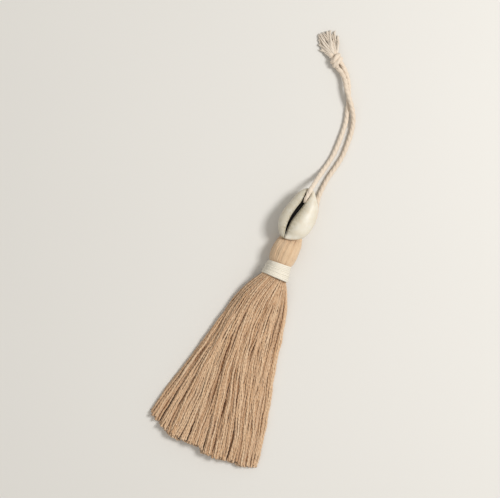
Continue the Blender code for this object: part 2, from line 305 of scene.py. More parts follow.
# Cowrie. Along, left and right edges, underside, height of the widest line, top, and the slit's
# middle, width and depth
COWRIE = (
    (12.7, -2.1, -2.0, 8.3, 8.5, 8.6, -2.1, 0.02, 0.02),
    (12.85, -3.3, -0.8, 7.7, 8.4, 9.2, -2.3, 0.12, 0.1),
    (13.5, -4.6, 1.2, 6.4, 8.1, 9.9, -2.6, 0.25, 0.4),
    (14.9, -5.8, 3.7, 4.8, 7.8, 10.6, -2.8, 0.42, 1.4),
    (17.0, -6.9, 5.6, 2.9, 7.4, 11.3, -3.1, 0.9, 2.6),
    (20.0, -7.6, 6.5, 1.2, 7.1, 11.5, -3.1, 1.2, 3.0),
    (23.3, -7.3, 6.8, 0.1, 6.9, 11.4, -2.6, 1.65, 3.0),
    (26.5, -6.4, 6.4, 0.1, 6.8, 11.1, -1.8, 1.85, 3.0),
    (29.0, -5.6, 5.85, 0.8, 6.8, 10.7, -1.15, 1.75, 3.0),
    (30.8, -5.0, 5.0, 1.6, 6.9, 10.4, -0.95, 1.75, 2.6),
    (32.6, -4.3, 3.7, 2.9, 7.0, 9.8, -0.75, 1.8, 1.8),
    (34.2, -3.2, 2.4, 4.5, 7.2, 9.2, -0.5, 1.6, 1.0),
    (35.3, -2.0, 1.2, 6.3, 7.4, 8.2, -0.4, 1.2, 0.4),
    (35.7, -0.5, -0.3, 7.3, 7.4, 7.5, -0.4, 0.05, 0.02),
)
COWRIE_RINGS = 170
# How far each lip rolls down to the slit, and over what width: left, right
LIP_FALL = ((0.5, 0.8), (1.9, 1.7))
# The lips' edges are rounded off: how far down, and over what width
LIP_EDGE = (0.25, 0.3)
# Points up a wall of the slit, as shares of its width and depth
SLIT_WALL = ((0.12, 0), (0.34, 0.3), (0.44, 0.6), (0.48, 0.85))
LIP_STEPS = 30
DOME_STEPS = 30
TEETH_ENDS = (14.0, 31.0)
TEETH_FADE = 2.5
TOOTH_SPACING = 1.25
TOOTH_HEIGHT = 0.09
TOOTH_DEPTH = 0.05  # how far a tooth stands into the slit
TOOTH_REACH = 1.1  # over the lip

# A mesh: straight holds each point's place beside and along its yarn as if that were straight. tone
# is 0 to 1 from yarn to yarn and falls to -1 deep between yarns, where shade is painted. On the
# cowrie it is painted shade by the slit and a darker left lip, and 2 inside the slit, which is
# painted near black as shade.
Mesh = namedtuple("Mesh", "points quads tips straight tone")


def linear(hex_colour):
    """An sRGB hex colour as linear red, green, blue and alpha."""
    parts = [int(hex_colour[place:place + 2], 16) / 255 for place in (1, 3, 5)]
    return (*(part / 12.92 if part <= 0.04045 else ((part + 0.055) / 1.055) ** 2.4
              for part in parts), 1.0)


def smooth_columns(rows, at):
    """The rows' other columns where their first column is at, on smooth curves through them."""
    rows = np.array(sorted(rows), float)
    key, values = rows[:, 0], rows[:, 1:]
    slopes = np.gradient(values, key, axis=0)
    at = np.clip(at, key[0], key[-1])
    index = np.clip(np.searchsorted(key, at) - 1, 0, len(key) - 2)
    step = (key[index + 1] - key[index])[..., None]
    part = (at - key[index])[..., None] / step
    before = (1 + 2 * part) * (1 - part) ** 2 * values[index]
    leaving = part * (1 - part) ** 2 * step * slopes[index]
    after = part ** 2 * (3 - 2 * part) * values[index + 1]
    arriving = part ** 2 * (part - 1) * step * slopes[index + 1]
    return before + leaving + after + arriving


def columns_of(rows, at):
    """As smooth_columns, with the columns apart."""
    return np.moveaxis(smooth_columns(rows, at), -1, 0)


def even_route(route, step):
    """Points at even steps along a smooth curve through a route."""
    rows = [(index, *point) for index, point in enumerate(route)]
    fine = smooth_columns(rows, np.linspace(0, len(route) - 1, 40 * len(route)))
    travelled = np.concatenate([[0], np.cumsum(np.linalg.norm(np.diff(fine, axis=0), axis=1))])
    places = np.linspace(0, travelled[-1], round(travelled[-1] / step) + 1)
    return np.stack([np.interp(places, travelled, fine[:, axis]) for axis in range(3)], axis=1)


def wander(rng, count, along, lengths, sizes):
    """Gentle sideways waves for count yarns, each with its own: the waves' lengths and sizes."""
    total = 0
    for length, size in zip(lengths, sizes):
        phase = rng.uniform(0, 2 * math.pi, (count, 1))
        stretch = rng.uniform(0.75, 1.35, (count, 1))
        reach = size * rng.uniform(0.5, 1.3, (count, 1))
        total = total + reach * np.sin(2 * math.pi * along / (length * stretch) + phase)
    return total


def lobe(angle, lobes, groove):
    """Radius round a yarn of that many plies, whose own middles lie groove from the yarn's."""
    part = 2 * math.pi / lobes
    nearest = (angle + part / 2) % part - part / 2
    return groove * np.cos(nearest) + np.sqrt((1 - groove) ** 2 - (groove * np.sin(nearest)) ** 2)


def loft(rings, tip_reach=0.0):
    """Closed skins through rings of points: skins, rings, points of a ring, three."""
    count, steps, sides, _ = rings.shape
    size = steps * sides + 2
    first = rings[:, 0].mean(axis=1)
    last = rings[:, -1].mean(axis=1)
    first = first + tip_reach * (first - rings[:, 1].mean(axis=1))
    last = last + tip_reach * (last - rings[:, -2].mean(axis=1))
    points = np.concatenate([rings.reshape(count, -1, 3), first[:, None], last[:, None]], axis=1)
    ring, side = np.meshgrid(np.arange(steps - 1), np.arange(sides), indexing="ij")
    after = (side + 1) % sides
    quads = np.stack([ring * sides + side, (ring + 1) * sides + side,
                      (ring + 1) * sides + after, ring * sides + after], axis=-1).reshape(-1, 4)
    rim = np.arange(sides)
    next_rim = (rim + 1) % sides
    top = (steps - 1) * sides
    start = np.stack([np.full(sides, steps * sides), rim, next_rim], axis=1)
    end = np.stack([np.full(sides, steps * sides + 1), top + next_rim, top + rim], axis=1)
    shift = size * np.arange(count)[:, None, None]
    flat_quads = (quads[None] + shift).reshape(-1, 4)
    flat_tips = (np.concatenate([start, end])[None] + shift).reshape(-1, 3)
    return points.reshape(-1, 3), flat_quads, flat_tips


def sweep(paths, radii, rng, lobes=2, groove=0.26, pitch=3.4, sides=8, reference=UP):
    """Twisted yarns along paths: yarns, steps, three. The plies turn once in each pitch."""
    paths = np.asarray(paths, float)
    count, steps, _ = paths.shape
    heading = np.gradient(paths, axis=1)
    heading /= np.linalg.norm(heading, axis=2, keepdims=True)
    side = np.cross(heading, reference)
    side /= np.linalg.norm(side, axis=2, keepdims=True)
    over = np.cross(side, heading)
    pieces = np.linalg.norm(np.diff(paths, axis=1), axis=2)
    travelled = np.concatenate([np.zeros((count, 1)), np.cumsum(pieces, axis=1)], axis=1)
    turn = rng.uniform(0, 2 * math.pi, (count, 1)) + 2 * math.pi * travelled / pitch
    angle = 2 * math.pi * np.arange(sides) / sides
    radii = np.broadcast_to(radii, (count, steps))[..., None]
    reach = lobe(angle, lobes, groove)[None, None] * radii
    facing = turn[..., None] + angle
    rings = (paths[:, :, None] + side[:, :, None] * (reach * np.cos(facing))[..., None]
             + over[:, :, None] * (reach * np.sin(facing))[..., None])
    rings[..., 2] = np.maximum(rings[..., 2], FLOOR_CLEAR)
    points, quads, tips = loft(rings, 0.3)
    place = rng.uniform(0, 400, (count, 1, 1))
    laid = np.stack([reach * np.cos(angle), reach * np.sin(angle),
                     travelled[..., None] + place + 0 * reach], axis=-1)
    ends = np.stack([laid[:, 0].mean(axis=1), laid[:, -1].mean(axis=1)], axis=1)
    straight = np.concatenate([laid.reshape(count, -1, 3), ends], axis=1).reshape(-1, 3)
    tone = np.repeat(rng.uniform(0, 1, count), steps * sides + 2)
    return Mesh(points, quads, tips, straight, tone)


def join(meshes):
    """Several meshes as one."""
    starts = np.cumsum([0] + [len(mesh.points) for mesh in meshes])
    return Mesh(np.concatenate([mesh.points for mesh in meshes]),
                np.concatenate([mesh.quads + start for mesh, start in zip(meshes, starts)]),
                np.concatenate([mesh.tips + start for mesh, start in zip(meshes, starts)]),
                np.concatenate([mesh.straight for mesh in meshes]),
                np.concatenate([mesh.tone for mesh in meshes]))


def make_piece(name, shape, material, slot, *nodes):
    """A piece of the tassel that stands for the named solids."""
    mesh = bpy.data.meshes.new(name)
    mesh.from_pydata(shape.points * MM, [], shape.quads.tolist() + shape.tips.tolist())
    mesh.attributes.new("straight", "FLOAT_VECTOR", "POINT").data.foreach_set(
        "vector", shape.straight.ravel())
    mesh.attributes.new("tone", "FLOAT", "POINT").data.foreach_set("value", shape.tone)
    mesh.shade_smooth()
    mesh.materials.append(material)
    piece = bpy.data.objects.new(name, mesh)
    bpy.context.scene.collection.objects.link(piece)
    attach(piece, "root")
    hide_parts(*nodes)
    return piece


def add_node(tree, kind, inputs=(), **settings):
    """A node with its settings. An input is a value or another node's output, which is linked."""
    node = tree.nodes.new(kind)
    for name, value in settings.items():
        setattr(node, name, value)
    for name, value in dict(inputs).items():
        if isinstance(value, bpy.types.NodeSocket):
            tree.links.new(value, node.inputs[name])
        else:
            node.inputs[name].default_value = value
    return node


def new_material(name, **sockets):
    """A material and its shader, with constants on the shader's own sockets."""
    material = bpy.data.materials.new(name)
    material.use_nodes = True
    tree = material.node_tree
    shader = tree.nodes["Principled BSDF"]
    for socket, value in sockets.items():
        shader.inputs[socket.replace("_", " ")].default_value = value
    return material, tree, shader


MIX_FACTOR, MIX_A, MIX_B, MIX_RESULT = 0, 6, 7, 2  # sockets of a Mix node that mixes colours


def spun_cotton(name, pale, deep, slub, core, streak_mm, length_mm, bump_mm, rough, halo):
    """Cotton that was carded, spun and plied: matte, with fibres laid along the plies.

    pale and deep are the yarns' lightest and darkest dye, slub the tint of uneven places, and core
    the warm, darker painted shade deep between yarns, where light comes only from cotton to cotton.
    streak_mm and length_mm size the streaks, and bump_mm is their height. halo is the strength of
    the sheen that loose surface fibres give.
    """
    material, tree, shader = new_material(
        name, Roughness=rough, IOR=1.53, Sheen_Weight=halo, Sheen_Roughness=0.6)
    straight = add_node(tree, "ShaderNodeAttribute", attribute_name="straight")
    tone = add_node(tree, "ShaderNodeAttribute", attribute_name="tone")
    # Fibres are 0.015 mm wide, too fine to show: they are drawn coarser, as streaks of streak_mm
    stretched = add_node(tree, "ShaderNodeMapping", {
        "Vector": straight.outputs["Vector"],
        "Scale": (1 / streak_mm, 1 / streak_mm, 1 / length_mm)})
    streaks = add_node(tree, "ShaderNodeTexNoise", {
        "Vector": stretched.outputs["Vector"], "Scale": 0.5, "Detail": 3.0, "Roughness": 0.6})
    # Uneven dye along a yarn, a new shade every 12 mm or so
    drift = add_node(tree, "ShaderNodeMapping", {
        "Vector": straight.outputs["Vector"], "Scale": (0.1, 0.1, 1 / 12)})
    patches = add_node(tree, "ShaderNodeTexNoise", {
        "Vector": drift.outputs["Vector"], "Scale": 1.0, "Detail": 1.0})
    shade = add_node(tree, "ShaderNodeMath", {
        0: tone.outputs["Fac"], 1: 0.45, 2: -0.2}, operation="MULTIPLY_ADD")
    streaked = add_node(tree, "ShaderNodeMath", {
        0: streaks.outputs["Fac"], 1: 0.9, 2: shade.outputs[0]}, operation="MULTIPLY_ADD")
    dyed = add_node(tree, "ShaderNodeMix", {
        MIX_FACTOR: streaked.outputs[0], MIX_A: linear(deep), MIX_B: linear(pale)},
        data_type="RGBA")
    slubbed = add_node(tree, "ShaderNodeMath", {
        0: patches.outputs["Fac"], 1: 1.4, 2: -0.45}, operation="MULTIPLY_ADD", use_clamp=True)
    tinted = add_node(tree, "ShaderNodeMix", {
        MIX_FACTOR: slubbed.outputs[0], MIX_A: dyed.outputs[MIX_RESULT], MIX_B: linear(slub)},
        data_type="RGBA")
    # Painted shade: where tone falls below zero, deep between yarns, the colour turns to core
    painted_shade_share = add_node(tree, "ShaderNodeMath", {
        0: tone.outputs["Fac"], 1: -1.0}, operation="MULTIPLY", use_clamp=True)
    with_painted_shade = add_node(tree, "ShaderNodeMix", {
        MIX_FACTOR: painted_shade_share.outputs[0], MIX_A: tinted.outputs[MIX_RESULT], MIX_B: linear(core)},
        data_type="RGBA")
    tree.links.new(with_painted_shade.outputs[MIX_RESULT], shader.inputs["Base Color"])
    raised = add_node(tree, "ShaderNodeBump", {
        "Height": streaks.outputs["Fac"], "Distance": bump_mm * MM, "Strength": 0.8})
    tree.links.new(raised.outputs["Normal"], shader.inputs["Normal"])
    return material


def cowrie_glaze():
    """Cowrie polished by the animal's own glaze: ivory, smooth, with a soft gloss over chalk."""
    material, tree, shader = new_material(
        "glazed_cowrie", Roughness=0.5, IOR=1.5, Coat_Weight=0.15, Coat_Roughness=0.3,
        Subsurface_Weight=0.12, Subsurface_Radius=(0.0012, 0.0010, 0.0008))
    straight = add_node(tree, "ShaderNodeAttribute", attribute_name="straight")
    dip = add_node(tree, "ShaderNodeAttribute", attribute_name="tone")
    clouds = add_node(tree, "ShaderNodeTexNoise", {
        "Vector": straight.outputs["Vector"], "Scale": 0.35, "Detail": 3.0})
    cloudy = add_node(tree, "ShaderNodeMath", {
        0: clouds.outputs["Fac"], 1: 2.2, 2: -0.7}, operation="MULTIPLY_ADD", use_clamp=True)
    body = add_node(tree, "ShaderNodeMix", {
        MIX_FACTOR: cloudy.outputs[0], MIX_A: linear("#D4CAB5"), MIX_B: linear("#E0DBCE")},
        data_type="RGBA")
    # Growth leaves faint bands along the lips, about a millimetre apart
    bands = add_node(tree, "ShaderNodeTexNoise", {
        "Vector": straight.outputs["Vector"], "Scale": 1.1, "Detail": 4.0, "Roughness": 0.65})
    # Painted shade by the slit in olive grey, with the left lip darker all over, broken up by the
    # growth bands
    banded_lip_shade = add_node(tree, "ShaderNodeMath", {
        0: bands.outputs["Fac"], 1: dip.outputs["Fac"]}, operation="MULTIPLY")
    deeper = add_node(tree, "ShaderNodeMath", {
        0: banded_lip_shade.outputs[0], 1: 1.5}, operation="MULTIPLY", use_clamp=True)
    shaded = add_node(tree, "ShaderNodeMix", {
        MIX_FACTOR: deeper.outputs[0], MIX_A: body.outputs[MIX_RESULT],
        MIX_B: linear("#978C70")}, data_type="RGBA")
    # Painted shade: inside the deep slit the colour turns near black, as shade falls there
    inside = add_node(tree, "ShaderNodeMath", {
        0: dip.outputs["Fac"], 1: 1.0}, operation="SUBTRACT", use_clamp=True)
    slit_shade = add_node(tree, "ShaderNodeMix", {
        MIX_FACTOR: inside.outputs[0], MIX_A: shaded.outputs[MIX_RESULT],
        MIX_B: linear("#1C1812")}, data_type="RGBA")
    tree.links.new(slit_shade.outputs[MIX_RESULT], shader.inputs["Base Color"])
    raised = add_node(tree, "ShaderNodeBump", {
        "Height": bands.outputs["Fac"], "Distance": 0.03 * MM, "Strength": 0.5})
    tree.links.new(raised.outputs["Normal"], shader.inputs["Normal"])
    return material


def painted_board():
    """Smooth board painted pale and matte, for the floor."""
    material, tree, shader = new_material("painted_board", Roughness=0.7)
    place = add_node(tree, "ShaderNodeTexCoord")
    mottle = add_node(tree, "ShaderNodeTexNoise", {
        "Vector": place.outputs["Object"], "Scale": 6.0, "Detail": 2.0})
    paint = add_node(tree, "ShaderNodeMix", {
        MIX_FACTOR: mottle.outputs["Fac"], MIX_A: linear("#D9D6D0"), MIX_B: linear("#DDDAD4")},
        data_type="RGBA")
    tree.links.new(paint.outputs[MIX_RESULT], shader.inputs["Base Color"])
    return material


def make_camera():
    """Camera straight above, framed on the tassel."""
    data = bpy.data.cameras.new("camera")
    data.sensor_width = SENSOR
    data.lens = SENSOR * CAMERA_HEIGHT / VIEW_WIDTH
    data.clip_start = 0.01
    camera = bpy.data.objects.new("camera", data)
    camera.location = (VIEW_MIDDLE[0] * MM, VIEW_MIDDLE[1] * MM, CAMERA_HEIGHT * MM)
    camera.rotation_euler = (0, 0, VIEW_TURN)
    bpy.context.scene.collection.objects.link(camera)
    bpy.context.scene.camera = camera


def make_light(name, way, height, size, power):
    """A soft square light that faces the tassel: way is (right, up) as the camera sees it."""
    right = Vector((math.cos(VIEW_TURN), math.sin(VIEW_TURN), 0))
    up = Vector((-math.sin(VIEW_TURN), math.cos(VIEW_TURN), 0))
    aim = Vector((VIEW_MIDDLE[0], VIEW_MIDDLE[1], 0)) * MM
    data = bpy.data.lights.new(name, "AREA")
    data.size = size
    data.energy = power
    light = bpy.data.objects.new(name, data)
    light.location = aim + right * way[0] + up * way[1] + Vector((0, 0, height))
    light.rotation_euler = (aim - light.location).to_track_quat("-Z", "Y").to_euler()
    bpy.context.scene.collection.objects.link(light)


def make_studio():
    """Pale floor, soft room light, a key light at the right and a weak fill opposite."""
    bpy.ops.mesh.primitive_plane_add(size=6)
    floor = bpy.context.object
    floor.name = "floor"
    floor.data.materials.append(painted_board())
    world = bpy.data.worlds.new("studio")
    world.use_nodes = True
    background = world.node_tree.nodes["Background"]
    background.inputs["Color"].default_value = linear("#F4F2EE")
    background.inputs["Strength"].default_value = 0.54
    bpy.context.scene.world = world
    make_light("key", (0.46, 0.1), 0.65, 0.22, 4.6)
    make_light("fill", (-0.5, -0.3), 0.8, 0.8, 0.8)
    bpy.context.scene.view_settings.view_transform = "Standard"


def make_leg(name, route, tail, thinned, rng, material):
    """One leg of the loop, from the tassel to the knot, squeezed to thinned where it starts.

    tail is the way that it comes out of sight before the route's first point.
    """
    path = even_route(tail + route, CORD_STEP)
    travelled = CORD_STEP * np.arange(len(path))
    uneven = 1 + 0.03 * np.sin(travelled / 2.3) + 0.02 * np.sin(travelled / 0.9)
    radius = CORD_DIAMETER / 2 * uneven
    radius = radius * np.interp(travelled, (0, 2.2, 5.5), (thinned, 0.9 * thinned + 0.1, 1))
    tube = sweep(path[None], radius[None], rng, **CORD_STRANDS)
    return make_piece(name, tube, material, "cord", name.replace("loop", "cord")), path


def in_knot(places):
    """Places (across, along, up) in the knot's own directions, in the tassel's."""
    places = np.asarray(places, float)
    return (KNOT_MIDDLE + places[..., 0:1] * KNOT_ACROSS + places[..., 1:2] * KNOT_ALONG
            + places[..., 2:3] * np.array(UP))


def make_knot(rng, material):
    """Overhand knot, drawn as two cords through the middle with two wraps sunk into them."""
    parts = []
    for side in (-1, 1):
        core = even_route([(1.2 * side, -3.7, 2.0 - 0.4 * side), (1.15 * side, -2.4, 2.2),
                           (0.85 * side, -0.8, 2.4), (0.8 * side, 1.0, 2.35),
                           (0.85 * side, 2.4, 2.2), (0.95 * side, 3.9, 2.0)], CORD_STEP)
        parts.append(sweep(in_knot(core)[None], np.full((1, len(core)), KNOT_CORE_RADIUS), rng,
                           **CORD_STRANDS))
    angle = np.linspace(*WRAP_TURN, 120)
    risen = np.clip(np.minimum(angle - angle[0], angle[-1] - angle) / 0.9, 0, 1)
    risen = risen * risen * (3 - 2 * risen)
    reach = WRAP_SUNK + (1 - WRAP_SUNK) * risen
    for start in WRAP_STARTS:
        across = WRAP_REACH[0] * reach * np.cos(angle)
        up = KNOT_HEIGHT + WRAP_REACH[1] * reach * np.sin(angle)
        along = start + WRAP_TILT * across / WRAP_REACH[0] + WRAP_CLIMB * (angle - 1.6)
        wrap = in_knot(np.stack([across, along, up], axis=1))
        parts.append(sweep(wrap[None], np.full((1, len(wrap)), WRAP_RADIUS), rng,
                           reference=KNOT_ALONG, **CORD_STRANDS))
    return make_piece("knot_wraps", join(parts), material, "cord", "knot")


def make_frays(rng, material):
    """Loose fibres of the cut ends, in locks that spread over the floor."""
    share = np.linspace(0, 1, 26)
    count = FRAY_FIBRES
    foot_along, foot_up = FRAY_FOOT
    parts = []
    for number, (tip_along, tip_across) in enumerate(FRAY_TIPS):
        foot_across = FRAY_FOOT_WIDTH * (number / (len(FRAY_TIPS) - 1) - 0.5)
        turn = rng.uniform(0, 2 * math.pi, (count, 1)) + 3.0 * share
        spread = np.sqrt(rng.uniform(0, 1, (count, 1))) * np.interp(share, *FRAY_SPREAD)
        length = rng.uniform(0.82, 1.04, (count, 1))
        lift = math.sin(2.4 * number) * 0.5
        bend = math.sin(1.7 * number + 0.5) * 0.7
        reach = share * length
        across = (foot_across + (tip_across - foot_across) * reach ** 1.25
                  + bend * np.sin(math.pi * share) + spread * np.cos(turn))
        along = foot_along + (tip_along - foot_along) * reach
        up = (foot_up + lift * np.sin(math.pi * share)
              + (FRAY_TIP_HEIGHT - foot_up) * share ** 1.4 + 0.75 * spread * np.sin(turn))
        across = across + wander(rng, count, along, *FRAY_WAVES) * share
        up = np.maximum(up + wander(rng, count, along, *FRAY_RISES) * share, FRAY_FLOOR)
        paths = in_knot(np.stack([across, along, up], axis=-1))
        radii = FRAY_FIBRE * (1.25 - 0.5 * share) * rng.uniform(0.7, 1.3, (count, 1))
        parts.append(sweep(paths, radii, rng, lobes=1, groove=0.0, pitch=9.0, sides=5))
    return make_piece("frayed_ends", join(parts), material, "cord", "knot")


def lanes(places):
    """Places (across, up) in the unit disc, kept apart by the golden step."""
    index = np.arange(places)
    across = 2 * (index * GOLDEN % 1) - 1
    up = (2 * index + 1) / places - 1
    inside = np.hypot(across, up) <= BUNDLE_REACH
    return across[inside], up[inside]


def clumps_of(across, up):
    """The small clump that each yarn keeps to: the one whose middle is nearest at the cut."""
    _, left, right, low, high = SKIRT[-1]
    middle_across, middle_up = lanes(CLUMP_PLACES)
    beside = (across[:, None] - middle_across) * (right - left)
    above = (up[:, None] - middle_up) * (high - low)
    return np.hypot(beside, above).argmin(axis=1)


def wander_of_locks(along, lock):
    """Waves that all yarns of a lock share."""
    return sum(size * np.sin(2 * math.pi * along / length + LOCK_PHASES[lock, number, None])
               for number, (length, size) in enumerate(LOCK_WAVES))


def freed(along, over):
    """0 where the binding holds a yarn, rising to 1 over a length below that."""
    return np.clip((SKIRT_FOOT - along) / over, 0, 1)


def lay_yarns(across, up, lock, clump, along, rng):
    """Sideways place, height and radius of yarns in their lanes, drawn into locks."""
    count = len(across)
    left, right, low, high = columns_of(SKIRT, along)
    waving = freed(along, WAVES_OVER)
    topmost = np.clip(1.2 + up, 0.25, 1)[:, None]
    length, angle, power = LOCK_DRAWN
    drawn = np.sin(np.clip(-along / length, 0, 1) * angle) ** power
    drawn = LOCK_PULL[lock][:, None] * topmost * waving * drawn
    lane = across[:, None] + (LOCK_MIDDLE[lock] - across)[:, None] * drawn
    height = up / np.sqrt(1 - np.minimum(np.abs(across), 0.98) ** 2)
    begins, over = SWEPT_ABOVE
    taken = columns_of(SWEPT_ACROSS, across)[0] * np.clip((height - begins) / over, 0, 1)
    lane = lane - taken[:, None] * columns_of(SWEPT_ALONG, along)[0]
    sideways = wander(rng, count, along, *YARN_WAVES)
    sideways = sideways + wander_of_locks(along, lock)
    clump_waves = wander(rng, clump.max() + 1, along, *CLUMP_WAVES)
    sideways = sideways + clump_waves[clump]
    edge = LOCK_EDGES[0]
    apart = np.where(across < edge, -(across + 1) / (edge + 1), (1 - across) / (1 - edge))
    begins, over, parted = PARTING
    lane = lane + parted * apart[:, None] * np.clip((begins - along) / over, 0, 1)
    strays = (rng.uniform(0, 1, count) < STRAYS) & (up > 0.2)
    drift = rng.normal(0, DRIFT, count) + rng.uniform(-STRAY_REACH, STRAY_REACH, count) * strays
    sideways = sideways + drift[:, None] * (along / -SKIRT_LENGTH) ** 1.5
    x = (left + right) / 2 + (right - left) / 2 * lane + waving * sideways
    drop = freed(along, DROP_OVER) * SIDE_DROP * across[:, None] ** 2
    z = low + (high - low) * (up[:, None] + 1 - drop) / 2
    z = z + waving * (wander(rng, count, along, *YARN_RISES) + STRAY_RISE * strays[:, None])
    radius = np.interp(along, *np.array(YARN_RADIUS).T) * rng.uniform(0.86, 1.14, (count, 1))
    return x, z, radius


def nearest_yarns(x, z, radius):
    """For each yarn, the others that come nearest to it, by their own thickness."""
    near = np.full((len(x), len(x)), np.inf)
    for station in range(0, x.shape[1], 3):
        places = np.stack([x[:, station], z[:, station]], axis=1) / radius[:, station].mean()
        near = np.minimum(near, ((places[:, None] - places[None]) ** 2).sum(axis=2))
    np.fill_diagonal(near, np.inf)
    return np.argpartition(near, NEIGHBOURS, axis=1)[:, :NEIGHBOURS]


def settle(x, z, radius, clump, along):
    """Yarns sink, cling in clumps and push each other apart, until they lie close."""
    free = freed(along, PUSH_OVER)
    held = CLUMP_HOLD * freed(along, CLUMPS_OVER)
    clumps, own_clump = np.unique(clump, return_inverse=True)
    mean_of_clump = (clump == clumps[:, None]) / np.bincount(clump)[clumps, None]
    left, right, _, _ = columns_of(SKIRT, along)
    home = x.copy()
    for count in range(SETTLE_ROUNDS):
        if count % LOOK_AGAIN == 0:
            others = nearest_yarns(x, z, radius)
            touching = TOUCH * (radius[:, None] + radius[others])
        z = z - SINK * free
        x = x + held * ((mean_of_clump @ x)[own_clump] - x)
        z = z + held * ((mean_of_clump @ z)[own_clump] - z)
        beside = x[:, None] - x[others]
        above = z[:, None] - z[others]
        far = np.hypot(beside, above) + 1e-4
        push = np.clip(touching - far, 0, None) * PUSH / far
        x = x + free * (beside * push).sum(axis=1) + HOMEWARD * (home - x)
        z = z + free * (above * push).sum(axis=1)
        for values in (x, z):
            straighter = (values[:, 2:] + values[:, :-2]) / 2
            values[:, 1:-1] += STIFFNESS * (straighter - values[:, 1:-1])
        x = np.clip(x, left + radius, right - radius)
        z = np.maximum(z, radius * free)
    return x, z


def on_top(x, z, radius):
    """Yarns with nothing much above them along a good part of their length."""
    seen = np.zeros(len(x))
    for station in range(x.shape[1]):
        beside = np.abs(x[:, station, None] - x[None, :, station])
        covers = beside < 0.8 * radius[:, station, None]
        roof = np.where(covers, z[None, :, station], 0).max(axis=1)
        seen += z[:, station] > roof - 1.7 * radius[:, station]
    return seen / x.shape[1] > SHOWN_SHARE


def place_among(evenly, at):
    """Where values lie among even steps: the step before them and the share of the way on."""
    place = np.clip((at - evenly[0]) / (evenly[1] - evenly[0]), 0, len(evenly) - 1.001)
    index = place.astype(int)
    return index, place - index


def along_yarn(stations, values, at):
    """Values known at even stations, read at other places along each yarn on a smooth curve."""
    slopes = np.gradient(values, axis=1)
    index, part = place_among(stations, at)
    row = np.arange(len(values))[:, None]
    return ((1 + 2 * part) * (1 - part) ** 2 * values[row, index]
            + part * (1 - part) ** 2 * slopes[row, index]
            + part ** 2 * (3 - 2 * part) * values[row, index + 1]
            + part ** 2 * (part - 1) * slopes[row, index + 1])


def cut_ends(x, up, lock, rng):
    """Where each yarn is cut: along the cut edge, a little unevenly, and shorter underneath."""
    where_cut = np.array(CUT_EDGE)
    end = np.interp(x[:, -3], where_cut[:, 0], where_cut[:, 1]) + LOCK_CUT[lock]
    uneven = rng.uniform(-CUT_UNEVEN, CUT_UNEVEN, len(end))
    return end + uneven + np.where(up < UNDERSIDE, UNDERSIDE_CUT, 0)


def roof_over(x, z, radius):
    """Height of the skirt's top at places across it, station by station, over the gaps too."""
    top = z + radius
    roof = np.zeros((x.shape[1], len(ROOF_PLACES)))
    for station in range(x.shape[1]):
        beside = ROOF_PLACES - x[:, station, None]
        half = 0.5 * radius[:, station, None]
        reach = radius[:, station, None] + ROOF_REACH
        at_left = np.where((beside > -half) & (beside < reach), top[:, station, None], 0)
        at_right = np.where((beside < half) & (beside > -reach), top[:, station, None], 0)
        roof[station] = np.minimum(at_left.max(axis=0), at_right.max(axis=0))
    return roof


def painted_shade_between(mesh, stations, roof, inside):
    """The mesh with painted shade: its tone falls below zero where a point lies deep between other
    yarns.

    inside is 1 where the painted shade may go and 0 near the cut and on the flanks.
    """
    x, y, z = mesh.points.T
    row, below = place_among(stations, y)
    column, beside = place_among(ROOF_PLACES, x)
    over = ((1 - below) * ((1 - beside) * roof[row, column] + beside * roof[row, column + 1])
            + below * ((1 - beside) * roof[row + 1, column]
                       + beside * roof[row + 1, column + 1]))
    reach = PAINTED_SHADE_FROM * np.interp(y, *np.array(YARN_RADIUS).T)
    # Painted shade: the deeper a point lies below the skirt's top, the more its colour turns to the
    # dark gap colour
    deep = inside * np.clip((over - z - reach) / PAINTED_SHADE_OVER, 0, 1)
    return mesh._replace(tone=mesh.tone * (1 - deep) - deep)


